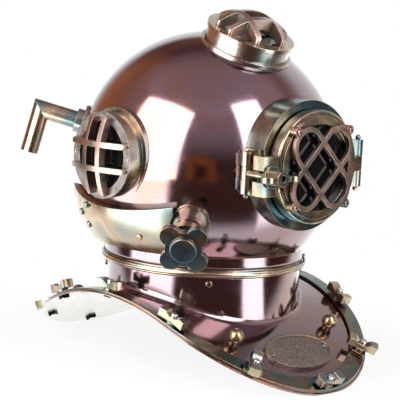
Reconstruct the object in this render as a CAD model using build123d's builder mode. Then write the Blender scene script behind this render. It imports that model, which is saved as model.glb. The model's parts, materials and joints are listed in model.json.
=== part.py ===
from build123d import *
from math import asin, cos, degrees, hypot, radians, sin, sqrt
import os

os.makedirs("parts", exist_ok=True)

# Frame: mm, +Z up along the neck axis, the front door faces -Y, the wearer's right side is -X.

# Sheet metal and fits
sheet = 1.5
seat_gap = 0.1
move_gap = 0.4
running_gap = 0.08
overrun = 20.0

# Bonnet
dome_r = 160.0
dome_z = 246.0
band_r = 124.0
band_foot_z = 128.8
band_blend = 6.0

# Neck joint
bead_r = 3.2
ring_bore_r = 117.5
ring_top_z = 143.0
lug_depth = 3.3
lug_height = 6.0
lug_foot_z = 131.0
lug_count = 4
bayonet_arc = 90.0 / 2
bayonet_slack = 4.0
upstand_wall = 5.0
skirt_foot_z = 104.0
gasket_thick = 2.4
neck_screw_r = 4.0
neck_screw_shank_r = 2.0
neck_screw_depth = 5.0
neck_screw_head = 2.6
band_screw_drop = 4.2
collar_screw_drop = 9.0
band_screw_turn = -140.0
collar_screw_turn = -130.0

# Breastplate
plate_half_width = 161.0
plate_half_length = 226.0
lobe_share = 0.9565
shoulder_rise = 93.0
shoulder_turn = 22.0
edge_turn = 36.0
edge_spare_turn = 4.0
foot_flat_depth = 1.2
collar_r = 120.5
collar_blend = 8.0

# Straps, studs and wing nuts
strap_thick = 3.0
strap_width = 17.5
strap_inset = 1.5
strap_joint_gap = 0.6
stud_inset = 9.6
stud_r = 4.0
stud_tip = 16.7
stud_spare = 0.5
stud_chamfer = 0.8
stud_turns = (0.0, 26.5, 55.0, 90.0, 125.0, 153.5)
boss_r = 8.2
boss_height = 1.0
cleat_length = 25.0
cleat_width = 16.6
cleat_thick = 3.6
cleat_corner = 2.5
lower_nut_width = 10.0
lower_nut_thick = 3.2
wing_span = 38.0
wing_height = 12.2
wing_end_width = 14.0
wing_waist = 10.4
wing_bulge = 1.2
wing_valley_r = 13.0
wing_valley_depth = 4.4
wing_base_r = 7.2
wing_foot = 2.2

# Knobs and oval plate
knob_x = 80.0
knob_y = 141.0
knob_ball_r = 9.2
knob_height = 9.8
knob_foot_r = 6.2
knob_foot_height = 1.8
oval_plate_y = 170.0
oval_plate_half_width = 52.0
oval_plate_half_height = 28.9
oval_plate_thick = 4.6
oval_plate_rim = 3.4
oval_plate_sink = 1.2
oval_plate_screw_x = 43.5
oval_plate_screw_r = 2.6

# Ports
port_z = 260.0
barrel_r = 77.0
barrel_face = 167.4
barrel_bore_r = 57.0
seat_ring_r = 64.0
seat_ring_face = 168.2
door_gasket_thick = 1.8
door_r = 67.0
door_back = 170.0
door_face = 186.0
door_bore_r = 51.0
door_glass_r = 57.5
door_glass_thick = 8.0
door_lip = 4.5
door_round = 2.0
door_step_r = 60.5
door_step = 3.2
guard_face = 192.2
guard_thick = 4.6
guard_bar = 5.5
guard_loop_r = 21.7
guard_loop_reach = 34.4
guard_ear_r = 5.6
guard_ear_reach = 61.4
guard_screw_r = 3.2
guard_screw_head = 2.2

# Hinge and latch of the door
hinge_out = 17.0
hinge_y = 169.0
knuckle_r = 6.4
knuckle_tip_r = 5.2
middle_knuckle_half = 8.6
knuckle_gap = 0.5
outer_knuckle_height = 19.0
hinge_pin_r = 2.6
pin_head_share = 1.25
latch_drop = 6.0
latch_half = 27.0
latch_plate = 4.0
pivot_out = 17.0
pivot_y = 152.0
pivot_reach = 12.0
lug_slot_half = 8.1
lug_end_r = 7.2
lug_outer_half = 24.0
pivot_pin_r = 2.6
eye_half = 7.6
eye_r = 6.6
bolt_r = 4.6
bolt_tip_y = 206.0
fork_slot_half = 6.8
fork_outer_half = 23.0
fork_out = 10.0
fork_root = 9.0
fork_seat = 37.6
latch_flange_r = 13.0
latch_flange = 4.0
latch_hub_r = 8.6
latch_hub_height = 20.0
latch_wing_reach = 28.0
latch_wing_r = 8.4
latch_wing_thick = 6.0

hinge_x = door_r + hinge_out
pivot_x = door_r + pivot_out
latch_flat_x = pivot_x - pivot_reach
latch_z = port_z - latch_drop

# Side ports
side_flange_r = 56.0
side_flange_face = 153.0
side_barrel_r = 50.0
side_barrel_face = 171.0
side_bore_r = 40.0
side_glass_r = 44.0
side_glass_thick = 7.0
side_plate_r = 51.0
side_plate_face = 174.0
side_guard_apex = 191.0
side_guard_reach = 48.5
side_guard_upright_at = 11.5
side_guard_level_at = 14.5
side_screw_at = 47.4

# Top port
top_tilt = 21.0
top_flange_r = 56.0
top_flange_face = 155.0
top_barrel_r = 52.0
top_barrel_face = 170.0
top_plate_r = 54.0
top_plate_face = 175.0
top_guard_apex = 199.0
top_guard_reach = 46.0
top_guard_upright_at = 18.7
top_guard_level_at = 12.3
top_guard_turn = -7.0
top_bore_r = 40.0
top_glass_r = 44.0
top_glass_thick = 7.0
top_screw_at = 49.5

# Guard bars and port screws
bar_width = 6.5
side_bar_depth = 9.0
top_bar_depth = 13.0
bar_end_height = 6.0
port_screw_r = 2.4
port_screw_head = 1.4

# Exhaust
channel_from = 145.0
channel_to = 213.0
channel_top = -10.5
channel_foot = -34.6
channel_dip_z = 198.0
channel_dip_y = -5.0
channel_dip_r = 341.0
channel_top_rise = 8.5
channel_belly_rise = 14.0
channel_foot_rise = 12.0
channel_wall = 2.0
channel_screw_r = 4.0
channel_screw_head = 2.4
channel_screws = ((-163.0, -26.5), (163.0, -26.0), (166.7, -17.0), (159.0, -21.0))
valve_turn = -140.0
valve_drop = -20.0
valve_r = 21.0
valve_waist_r = 19.6
valve_mouth_r = 20.4
valve_face = 205.0
valve_flange_r = 23.0
valve_flange = 3.0
valve_bore_r = 12.0
stem_r = 4.0
wheel_at = 217.0
wheel_thick = 8.0
wheel_r = 33.5
wheel_lobe_r = 12.0
wheel_notch_r = 5.0
wheel_cap_r = 15.4
wheel_cap = 5.0
wheel_cap_round = 1.6
wheel_hub_r = 11.0

# Goosenecks
neck_turns = {"left": 45.0, "right": 135.0}
elbow_rise = 14.0
pipe_r = 11.0
pipe_bore_r = 8.4
elbow_at = 217.0
elbow_drop = 54.5
elbow_flange_r = 22.0
elbow_flange = 3.0
elbow_ring_r = 15.0
elbow_ring = 9.0


def save(piece, name):
    piece.label = name
    export_step(piece, f"parts/{name}.step")


def towards(turn, rise):
    flat = cos(radians(rise))
    return Vector(flat * cos(radians(turn)), flat * sin(radians(turn)), sin(radians(rise)))


def dome_plane(turn, rise, distance=0.0):
    """A plane square to a line from the dome's centre, its x along the horizontal."""
    out = towards(turn, rise)
    side = Vector(-sin(radians(turn)), cos(radians(turn)), 0)
    return Plane(origin=Vector(0, 0, dome_z) + out * distance, x_dir=side, z_dir=out)


def spun(plane, turn):
    """The same plane with its x turned in it."""
    x_dir = plane.x_dir * cos(radians(turn)) + plane.y_dir * sin(radians(turn))
    return Plane(origin=plane.origin, x_dir=x_dir, z_dir=plane.z_dir)


def neck_plane(turn, height, distance):
    out = towards(turn, 0)
    return Plane(origin=out * distance + Vector(0, 0, height), x_dir=(0, 0, 1), z_dir=out)


front_plane = Plane(origin=(0, 0, port_z), x_dir=(1, 0, 0), z_dir=(0, -1, 0))
right_plane = Plane(origin=(0, 0, port_z), x_dir=(0, -1, 0), z_dir=(-1, 0, 0))
left_plane = Plane(origin=(0, 0, port_z), x_dir=(0, 1, 0), z_dir=(1, 0, 0))
top_out = Vector(0, -sin(radians(top_tilt)), cos(radians(top_tilt)))
top_plane = Plane(origin=(0, 0, dome_z), x_dir=(1, 0, 0), z_dir=top_out)
valve_plane = dome_plane(valve_turn, valve_drop)
elbow_planes = {side: dome_plane(turn, elbow_rise) for side, turn in neck_turns.items()}


# The saddle's side profile: two tangent arcs each way from the shoulder line
s1, c1 = sin(radians(shoulder_turn)), cos(radians(shoulder_turn))
s2, c2 = sin(radians(edge_turn)), cos(radians(edge_turn))
spread = s1 * (c1 - c2) - (1 - c1) * (s2 - s1)
shoulder_r = (plate_half_length * (c1 - c2) - shoulder_rise * (s2 - s1)) / spread
skirt_r = (shoulder_rise * s1 - plate_half_length * (1 - c1)) / spread
shoulder_z = shoulder_rise + sheet / c2 - foot_flat_depth


def profile_point(turn, level=0.0):
    """(y, z) of the saddle's section where its normal leans by turn, raised by level along the normal."""
    lean = radians(abs(turn))
    near = min(lean, radians(shoulder_turn))
    y = shoulder_r * sin(near) + skirt_r * (sin(lean) - sin(near))
    z = shoulder_z - shoulder_r * (1 - cos(near)) - skirt_r * (cos(near) - cos(lean))
    way = 1 if turn >= 0 else -1
    return (way * (y + level * sin(lean)), z + level * cos(lean))


def lean_at(y):
    """The lean of the saddle's normal at a distance y from the shoulder line, in degrees."""
    reach = abs(y)
    if reach < shoulder_r * s1:
        lean = asin(reach / shoulder_r)
    else:
        lean = asin(s1 + (reach - shoulder_r * s1) / skirt_r)
    return degrees(lean) if y >= 0 else -degrees(lean)


def on_saddle(x, y, along, level=0.0):
    """A plane on the saddle above plan point x, y, its x nearest the plan direction along."""
    lean = radians(lean_at(y))
    up = Vector(0, sin(lean), cos(lean))
    z = profile_point(degrees(lean))[1]
    side = Vector(along[0], along[1], 0)
    side = side - up * side.dot(up)
    return Plane(origin=Vector(x, y, z) + up * level, x_dir=side, z_dir=up)


def saddle_under(level):
    """All the space under the saddle, raised by level."""
    last = edge_turn + edge_spare_turn
    mid = (shoulder_turn + edge_turn) / 2
    with BuildPart() as space:
        with BuildSketch(Plane.YZ) as _:
            with BuildLine():
                back = ThreePointArc(
                    profile_point(-last, level),
                    profile_point(-mid, level),
                    profile_point(-shoulder_turn, level),
                )
                over = ThreePointArc(
                    back @ 1, profile_point(0, level), profile_point(shoulder_turn, level)
                )
                fore = ThreePointArc(
                    over @ 1, profile_point(mid, level), profile_point(last, level)
                )
                low = -shoulder_z
                Polyline(fore @ 1, ((fore @ 1).X, low), ((back @ 0).X, low), back @ 0)
            make_face()
        extrude(amount=plate_half_width + overrun, both=True)
    return space.part


# The breastplate's plan: an oval of four arcs
lobe_r = lobe_share * plate_half_width
lobe_y = plate_half_length - lobe_r
side_r = (plate_half_width**2 + lobe_y**2 - lobe_r**2) / (2 * (plate_half_width - lobe_r))
side_x = side_r - plate_half_width


def plan_oval(inset, height):
    """The plan oval, drawn in by inset, as a block from the floor up."""
    way = Vector(side_x, lobe_y).normalized()
    corner = Vector(-side_x, 0) + way * (side_r - inset)
    x, y = corner.X, corner.Y
    with BuildPart() as block:
        with BuildSketch():
            with BuildLine():
                ThreePointArc((x, -y), (plate_half_width - inset, 0), (x, y))
                ThreePointArc((x, y), (0, plate_half_length - inset), (-x, y))
                ThreePointArc((-x, y), (-(plate_half_width - inset), 0), (-x, -y))
                ThreePointArc((-x, -y), (0, -(plate_half_length - inset)), (x, -y))
            make_face()
        extrude(amount=height)
    return block.part


def rim_spot(turn, inset):
    """(x, y, outward x, outward y) on the plan oval at an angle from the front, positive to the left."""
    ux, uy = sin(radians(turn)), -cos(radians(turn))
    cy = -lobe_y if uy < 0 else lobe_y
    along = uy * cy
    reach = along + sqrt(along**2 - lobe_y**2 + (lobe_r - inset) ** 2)
    x, y = reach * ux, reach * uy
    if abs(y - cy) * side_x < abs(x) * lobe_y or abs(y) < lobe_y:
        cx = -side_x if ux > 0 else side_x
        along = ux * cx
        reach = along + sqrt(along**2 - side_x**2 + (side_r - inset) ** 2)
        x, y = reach * ux, reach * uy
        out = Vector(x - cx, y).normalized()
    else:
        out = Vector(x, y - cy).normalized()
    return x, y, out.X, out.Y


def stud_spots():
    turns = [t for t in stud_turns] + [180.0] + [-t for t in stud_turns if t > 0]
    return {turn: rim_spot(turn, stud_inset) for turn in turns}


def stud_plane(turn, level, radial=False):
    x, y, ox, oy = rim_spot(turn, stud_inset)
    along = (ox, oy) if radial else (-oy, ox)
    return on_saddle(x, y, along, level)


cleat_turns = (26.5, -26.5, 153.5, -153.5)
all_turns = list(stud_spots())
boss_turns = [t for t in all_turns if t not in cleat_turns]
stud_planes = [stud_plane(t, 0) for t in all_turns]


def round_heads(planes, head_r, head, shank_r=0, depth=0):
    """One solid a plane: a round crowned head over the plane, and a shank under it."""
    with BuildPart() as group:
        with BuildSketch(*planes):
            Circle(head_r)
        extrude(amount=head)
        rounds = group.edges().filter_by(GeomType.CIRCLE)
        crowns = [rounds.sort_by_distance(p.offset(head).origin)[0] for p in planes]
        fillet(crowns, radius=head / 2)
        if shank_r:
            with BuildSketch(*planes):
                Circle(shank_r)
            extrude(amount=-depth)
    return group.part


def pins(planes, radius, low, high):
    """A round bar through each plane, from low to high along its normal."""
    with BuildPart() as group:
        with BuildSketch(*[p.offset(low) for p in planes]):
            Circle(radius)
        extrude(amount=high - low)
    return group.part


def bonnet_space(inset):
    """The bonnet's dome and band as one filled body, drawn in by inset."""
    dome, band = dome_r - inset, band_r - inset
    low = band_foot_z - (overrun if inset else 0)
    with BuildPart() as space:
        with BuildSketch(Plane.XZ):
            with BuildLine():
                base = Line((0, low), (band, low))
                side = Line(base @ 1, (band, dome_z - sqrt(dome**2 - band**2)))
                arch = ThreePointArc(side @ 1, (dome, dome_z), (0, dome_z + dome))
                Line(arch @ 1, base @ 0)
            outline = make_face()
            joint = outline.vertices().sort_by_distance(Vector(band, 0, (side @ 1).Y))[0]
            fillet(joint, radius=band_blend + inset)
        revolve(axis=Axis.Z)
    return space.part


under_shell = saddle_under(-sheet)
under_plate = saddle_under(0)
under_strap = saddle_under(strap_thick)
over_plate = saddle_under(seat_gap)
dome_space = bonnet_space(-seat_gap)

# Neck heights and radii that follow from the bonnet's band
ring_foot_z = band_foot_z - 2 * bead_r
collar_top_z = ring_foot_z - gasket_thick
ring_lug_r = ring_bore_r - lug_depth
upstand_r = ring_lug_r - move_gap
plate_lug_z = lug_foot_z + lug_height + move_gap / 2
band_screw_planes = [
    neck_plane(band_screw_turn + 90 * k, band_foot_z + band_screw_drop, band_r) for k in range(4)
]
collar_screw_planes = [
    neck_plane(collar_screw_turn + 90 * k, ring_foot_z - collar_screw_drop, collar_r)
    for k in range(4)
]
bolt_holes = pins(stud_planes, stud_r + seat_gap, -overrun, overrun)


def neck_space(inset):
    """The breastplate's saddle and collar as one filled body, drawn in by inset."""
    with BuildPart() as space:
        add(saddle_under(-inset))
        with BuildSketch():
            Circle(collar_r - inset)
        extrude(amount=collar_top_z + (overrun if inset else 0))
        foot = [
            e
            for e in space.edges().filter_by(GeomType.LINE, reverse=True)
            if abs(hypot((e @ 0).X, (e @ 0).Y) - collar_r + inset) < seat_gap
            and abs(hypot((e @ 0.3).X, (e @ 0.3).Y) - collar_r + inset) < seat_gap
            and seat_gap < (e @ 0.3).Z < shoulder_z + seat_gap
        ]
        fillet(foot, radius=collar_blend + inset)
    return space.part


with BuildPart() as breastplate_shell:
    add(neck_space(0))
    add(plan_oval(0, collar_top_z), mode=Mode.INTERSECT)
    add(neck_space(sheet), mode=Mode.SUBTRACT)
    add(bolt_holes, mode=Mode.SUBTRACT)
    add(pins(collar_screw_planes, neck_screw_shank_r + seat_gap, -overrun, overrun), mode=Mode.SUBTRACT)
save(breastplate_shell.part, "breastplate_shell")

# Neck ring of the breastplate: a skirt in the collar, an upstand and its bayonet lugs
with BuildPart() as breastplate_neck_ring:
    with BuildSketch(Plane.XY.offset(skirt_foot_z)):
        Circle(collar_r - sheet - seat_gap)
        Circle(upstand_r - upstand_wall, mode=Mode.SUBTRACT)
    extrude(amount=collar_top_z - skirt_foot_z)
    with BuildSketch(Plane.XY.offset(collar_top_z)):
        Circle(upstand_r)
        Circle(upstand_r - upstand_wall, mode=Mode.SUBTRACT)
    extrude(amount=plate_lug_z + lug_height - collar_top_z)
    lug_arc = bayonet_arc - bayonet_slack
    for k in range(lug_count):
        with BuildSketch(Plane.XY.offset(plate_lug_z)):
            middle = 2 * bayonet_arc * k
            with BuildLine():
                lip = CenterArc((0, 0), ring_bore_r - move_gap, middle - lug_arc / 2, lug_arc)
                root = CenterArc((0, 0), upstand_r - seat_gap, middle - lug_arc / 2, lug_arc)
                Line(lip @ 0, root @ 0)
                Line(lip @ 1, root @ 1)
            make_face()
        extrude(amount=lug_height)
    add(pins(collar_screw_planes, neck_screw_shank_r + seat_gap, -neck_screw_depth - seat_gap, 0), mode=Mode.SUBTRACT)
save(breastplate_neck_ring.part, "breastplate_neck_ring")

with BuildPart() as neck_gasket:
    with BuildSketch(Plane.XY.offset(collar_top_z)):
        Circle(collar_r - seat_gap)
        Circle(upstand_r + seat_gap, mode=Mode.SUBTRACT)
    extrude(amount=gasket_thick)
save(neck_gasket.part, "neck_gasket")

heads = round_heads(collar_screw_planes, neck_screw_r, neck_screw_head, neck_screw_shank_r, neck_screw_depth)
save(heads, "collar_screws")

# Straps: the plan oval's border lifted off the saddle, parted under the four cleats
with BuildPart() as straps:
    add(under_strap)
    add(plan_oval(strap_inset, collar_top_z), mode=Mode.INTERSECT)
    add(under_plate, mode=Mode.SUBTRACT)
    add(plan_oval(strap_inset + strap_width, collar_top_z), mode=Mode.SUBTRACT)
    add(pins([stud_plane(t, 0) for t in boss_turns], boss_r, sheet, strap_thick + boss_height))
    add(bolt_holes, mode=Mode.SUBTRACT)
    for turn in cleat_turns:
        spot = stud_plane(turn, 0)
        with BuildSketch(spot):
            Rectangle(strap_joint_gap, strap_width * 2)
        extrude(amount=overrun, both=True, mode=Mode.SUBTRACT)
pieces = straps.part.solids()


def cleated_strap(strap, turns):
    """A short strap whose raised ends lap over the ends of the side straps."""
    with BuildPart() as piece:
        add(strap)
        for turn, way in turns:
            lap = stud_plane(turn, sheet)
            own = Plane(
                origin=lap.origin + lap.x_dir * (way * (cleat_length + strap_joint_gap) / 4),
                x_dir=lap.x_dir,
                z_dir=lap.z_dir,
            )
            with BuildPart(mode=Mode.PRIVATE) as cleat:
                with BuildSketch(lap):
                    RectangleRounded(cleat_length, cleat_width, cleat_corner)
                extrude(amount=strap_thick + cleat_thick - sheet)
                add(saddle_under(strap_thick + seat_gap), mode=Mode.SUBTRACT)
            with BuildPart(mode=Mode.PRIVATE) as root:
                with BuildSketch(own):
                    Rectangle((cleat_length - strap_joint_gap) / 2 - cleat_corner, cleat_width - cleat_corner)
                extrude(amount=strap_thick + cleat_thick / 2 - sheet)
            add(cleat.part)
            add(root.part)
        add(bolt_holes, mode=Mode.SUBTRACT)
    return piece.part


save(cleated_strap(pieces.sort_by(Axis.Y)[0], ((26.5, -1), (-26.5, 1))), "front_strap")
save(cleated_strap(pieces.sort_by(Axis.Y)[-1], ((153.5, 1), (-153.5, -1))), "rear_strap")
save(Part(pieces.sort_by(Axis.X)[0].wrapped), "right_strap")
save(Part(pieces.sort_by(Axis.X)[-1].wrapped), "left_strap")

# Studs through rim and straps, their square nuts below
with BuildPart() as rim_studs:
    for turn in all_turns:
        seat = cleat_thick if turn in cleat_turns else boss_height
        tail = -sheet - lower_nut_thick - stud_spare
        with BuildSketch(stud_plane(turn, tail)):
            Circle(stud_r)
        extrude(amount=stud_tip + seat - boss_height - tail)
        tip = stud_plane(turn, stud_tip + seat - boss_height).origin
        rounds = rim_studs.edges().filter_by(GeomType.CIRCLE)
        chamfer(rounds.sort_by_distance(tip)[0], length=stud_chamfer)
save(rim_studs.part, "rim_studs")

with BuildPart() as rim_stud_nuts:
    with BuildSketch(*[p.offset(-sheet) for p in stud_planes]):
        Rectangle(lower_nut_width, lower_nut_width)
        Circle(stud_r + seat_gap, mode=Mode.SUBTRACT)
    extrude(amount=-lower_nut_thick)
    add(under_shell, mode=Mode.INTERSECT)
save(rim_stud_nuts.part, "rim_stud_nuts")


def wing_nut(seat):
    """A cast wing nut on a flat seat: a bow-tie block on a round foot, dished round the stud."""
    half = wing_span / 2 - wing_bulge
    end = wing_end_width / 2
    across = Plane(origin=seat.origin, x_dir=seat.x_dir, z_dir=-seat.y_dir)
    with BuildPart() as nut:
        with BuildSketch(seat.offset(wing_foot)):
            with BuildLine():
                near = ThreePointArc((-half, -end), (0, -wing_waist / 2), (half, -end))
                far = ThreePointArc((half, end), (0, wing_waist / 2), (-half, end))
                ThreePointArc(near @ 1, (half + wing_bulge, 0), far @ 0)
                ThreePointArc(far @ 1, (-half - wing_bulge, 0), near @ 0)
            make_face()
        extrude(amount=wing_height - wing_foot)
        with BuildSketch(across):
            with Locations((0, wing_height - wing_valley_depth + wing_valley_r)):
                Circle(wing_valley_r)
        extrude(amount=wing_end_width, both=True, mode=Mode.SUBTRACT)
        with BuildSketch(seat):
            Circle(wing_base_r)
        extrude(amount=wing_foot)
        with BuildSketch(seat):
            Circle(stud_r + running_gap)
        extrude(amount=wing_height, mode=Mode.SUBTRACT)
    return nut.part


nut_names = {
    0.0: "front",
    26.5: "front_left",
    55.0: "fore_left",
    90.0: "left",
    125.0: "aft_left",
    153.5: "rear_left",
    180.0: "rear",
    -26.5: "front_right",
    -55.0: "fore_right",
    -90.0: "right",
    -125.0: "aft_right",
    -153.5: "rear_right",
}
for turn, name in nut_names.items():
    lift = strap_thick + (cleat_thick if turn in cleat_turns else boss_height)
    save(wing_nut(stud_plane(turn, lift, radial=turn in cleat_turns)), f"wing_nut_{name}")


# Ball knobs, each on a round foot
with BuildPart() as ball_knobs:
    for x, y in ((x, y) for x in (-knob_x, knob_x) for y in (-knob_y, knob_y)):
        base = on_saddle(x, y, (1, 0))
        with BuildSketch(base.offset(-knob_foot_height)):
            Circle(knob_foot_r)
        extrude(amount=2 * knob_foot_height)
        with Locations(base.offset(knob_height).origin):
            Sphere(knob_ball_r)
    add(over_plate, mode=Mode.SUBTRACT)
save(ball_knobs.part, "ball_knobs")

oval_plane = on_saddle(0, -oval_plate_y, (1, 0))
oval_sink = oval_plane.offset(oval_plate_thick - oval_plate_sink)
with BuildPart() as oval_plate:
    with BuildSketch(oval_plane.offset(-oval_plate_thick)):
        Ellipse(oval_plate_half_width, oval_plate_half_height)
    extrude(amount=2 * oval_plate_thick)
    with BuildSketch(oval_sink):
        Ellipse(oval_plate_half_width - oval_plate_rim, oval_plate_half_height - oval_plate_rim)
    extrude(amount=oval_plate_sink, mode=Mode.SUBTRACT)
    add(over_plate, mode=Mode.SUBTRACT)
save(oval_plate.part, "oval_plate")
oval_screw_planes = [
    Plane(origin=oval_sink.origin + oval_sink.x_dir * x, x_dir=oval_sink.x_dir, z_dir=oval_sink.z_dir)
    for x in (-oval_plate_screw_x, oval_plate_screw_x)
]
save(round_heads(oval_screw_planes, oval_plate_screw_r, oval_plate_screw_r / 2), "oval_plate_screws")


def bore(plane, radius, far=dome_r + overrun):
    """A round block from a plane outward, for cutting a hole."""
    with BuildPart() as block:
        with BuildSketch(plane):
            Circle(radius)
        extrude(amount=far)
    return block.part


with BuildPart() as bonnet_shell:
    add(bonnet_space(0))
    add(bonnet_space(sheet), mode=Mode.SUBTRACT)
    add(bore(front_plane, barrel_bore_r), mode=Mode.SUBTRACT)
    add(bore(right_plane, side_bore_r), mode=Mode.SUBTRACT)
    add(bore(left_plane, side_bore_r), mode=Mode.SUBTRACT)
    add(bore(top_plane, top_bore_r), mode=Mode.SUBTRACT)
    add(bore(valve_plane, valve_bore_r), mode=Mode.SUBTRACT)
    for side in neck_turns:
        add(bore(elbow_planes[side], pipe_bore_r), mode=Mode.SUBTRACT)
    add(pins(band_screw_planes, neck_screw_shank_r + seat_gap, -overrun, overrun), mode=Mode.SUBTRACT)
save(bonnet_shell.part, "bonnet_shell")

# Neck ring of the bonnet: a skirt in the band, the bead under it and its bayonet lugs
with BuildPart() as bonnet_neck_ring:
    with BuildSketch(Plane.XY.offset(ring_foot_z)):
        Circle(band_r - sheet - seat_gap)
        Circle(ring_bore_r, mode=Mode.SUBTRACT)
    extrude(amount=ring_top_z - ring_foot_z)
    with BuildSketch(Plane.XZ):
        with Locations((band_r + bead_r / 4, ring_foot_z + bead_r)):
            Circle(bead_r)
        with Locations((band_r - bead_r, ring_foot_z)):
            Rectangle(bead_r * 4, bead_r * 2, align=(Align.CENTER, Align.MIN), mode=Mode.ADD)
    revolve(axis=Axis.Z)
    for k in range(lug_count):
        with BuildSketch(Plane.XY.offset(lug_foot_z)):
            middle = 2 * bayonet_arc * k
            with BuildLine():
                root = CenterArc((0, 0), ring_bore_r + seat_gap, middle - lug_arc / 2, lug_arc)
                lip = CenterArc((0, 0), ring_lug_r, middle - lug_arc / 2, lug_arc)
                Line(lip @ 0, root @ 0)
                Line(lip @ 1, root @ 1)
            make_face()
        extrude(amount=lug_height)
    add(pins(band_screw_planes, neck_screw_shank_r + seat_gap, -neck_screw_depth - seat_gap, 0), mode=Mode.SUBTRACT)
save(bonnet_neck_ring.part, "bonnet_neck_ring")
heads = round_heads(band_screw_planes, neck_screw_r, neck_screw_head, neck_screw_shank_r, neck_screw_depth)
save(heads, "band_screws")

# Front port: the barrel with its seat, hinge knuckles and a flat for the latch
half = middle_knuckle_half + knuckle_gap
lean = knuckle_r * 0.7
with BuildPart() as front_port_barrel:
    with BuildSketch(front_plane):
        Circle(barrel_r)
    extrude(amount=barrel_face)
    with BuildSketch(front_plane):
        Circle(seat_ring_r)
    extrude(amount=seat_ring_face)
    with Locations((-latch_flat_x, 0, latch_z)):
        Box(
            barrel_r,
            2 * barrel_face,
            2 * latch_half,
            align=(Align.MAX, Align.CENTER, Align.CENTER),
            mode=Mode.SUBTRACT,
        )
    for low in (port_z + half, port_z - half - outer_knuckle_height):
        with BuildSketch(Plane.XY.offset(low)):
            with BuildLine():
                Polyline(
                    (hinge_x + lean, -hinge_y + lean),
                    (hinge_x - lean, -hinge_y - lean),
                    (seat_ring_r, -barrel_face),
                    (seat_ring_r, -barrel_face + 2 * knuckle_r),
                    close=True,
                )
            make_face()
            with Locations((hinge_x, -hinge_y)):
                Circle(knuckle_r)
                Circle(hinge_pin_r + seat_gap, mode=Mode.SUBTRACT)
        extrude(amount=outer_knuckle_height)
    add(bore(front_plane, barrel_bore_r), mode=Mode.SUBTRACT)
    add(bore(top_plane, top_flange_r + seat_gap), mode=Mode.SUBTRACT)
    add(dome_space, mode=Mode.SUBTRACT)
save(front_port_barrel.part, "front_port_barrel")

# Latch: a bracket with two lugs on the barrel's flat, its pin, the swing bolt and the wing nut
with BuildPart() as latch_bracket:
    with Locations((-latch_flat_x, -barrel_face + lean, latch_z)):
        Box(latch_plate, 2 * overrun, 2 * latch_half, align=(Align.MAX, Align.MIN, Align.CENTER))
    for low in (latch_z + lug_slot_half, latch_z - lug_outer_half):
        with BuildSketch(Plane.XY.offset(low)):
            with Locations((-pivot_x, -pivot_y)):
                Circle(lug_end_r)
                Rectangle(
                    pivot_x - latch_flat_x, 2 * lug_end_r, align=(Align.MIN, Align.CENTER)
                )
                Circle(pivot_pin_r + seat_gap, mode=Mode.SUBTRACT)
        extrude(amount=lug_outer_half - lug_slot_half)
    add(dome_space, mode=Mode.SUBTRACT)
save(latch_bracket.part, "latch_bracket")


def vertical_pin(middle, radius, half_length):
    """A riveted pin: its crowned ends stand out of what it joins."""
    with BuildPart() as pin:
        with BuildSketch(Plane(origin=middle).offset(-half_length)):
            Circle(radius)
        extrude(amount=2 * half_length)
        for level in (-half_length, half_length):
            with Locations(Plane(origin=middle).offset(level).origin):
                Sphere(radius * pin_head_share)
    return pin.part


pivot = (-pivot_x, -pivot_y, latch_z)
save(vertical_pin(pivot, pivot_pin_r, lug_outer_half + pivot_pin_r), "latch_pin")
hinge_half = half + outer_knuckle_height
save(vertical_pin((hinge_x, -hinge_y, port_z), hinge_pin_r, hinge_half + hinge_pin_r), "hinge_pin")

bolt_plane = Plane(origin=pivot, x_dir=(1, 0, 0), z_dir=(0, -1, 0))
with BuildPart() as swing_bolt:
    with BuildSketch(bolt_plane):
        Circle(bolt_r)
    extrude(amount=bolt_tip_y - pivot_y)
    with BuildSketch(Plane.XY.offset(latch_z)):
        with Locations((-pivot_x, -pivot_y)):
            Circle(eye_r)
    extrude(amount=eye_half, both=True)
    with BuildSketch(Plane.XY.offset(latch_z)):
        with Locations((-pivot_x, -pivot_y)):
            Circle(pivot_pin_r + running_gap)
    extrude(amount=eye_half, both=True, mode=Mode.SUBTRACT)
save(swing_bolt.part, "swing_bolt")

nut_seat = bolt_plane.offset(fork_seat + move_gap)
with BuildPart() as latch_wing_nut:
    with BuildSketch(nut_seat):
        Circle(latch_flange_r)
    extrude(amount=latch_flange)
    with BuildSketch(nut_seat):
        Circle(latch_hub_r)
    extrude(amount=latch_hub_height)
    with BuildSketch(Plane(origin=nut_seat.origin, x_dir=nut_seat.x_dir, z_dir=-nut_seat.y_dir)):
        lobe_x = latch_wing_reach - latch_wing_r
        lobe_y = latch_hub_height - latch_wing_r + latch_flange
        with Locations((lobe_x, lobe_y), (-lobe_x, lobe_y)):
            Circle(latch_wing_r)
        with Locations((0, lobe_y)):
            Rectangle(2 * lobe_x, latch_wing_r)
    extrude(amount=latch_wing_thick / 2, both=True)
    with BuildSketch(nut_seat):
        Circle(bolt_r + running_gap)
    extrude(amount=latch_hub_height + overrun, mode=Mode.SUBTRACT)
save(latch_wing_nut.part, "latch_wing_nut")

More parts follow.
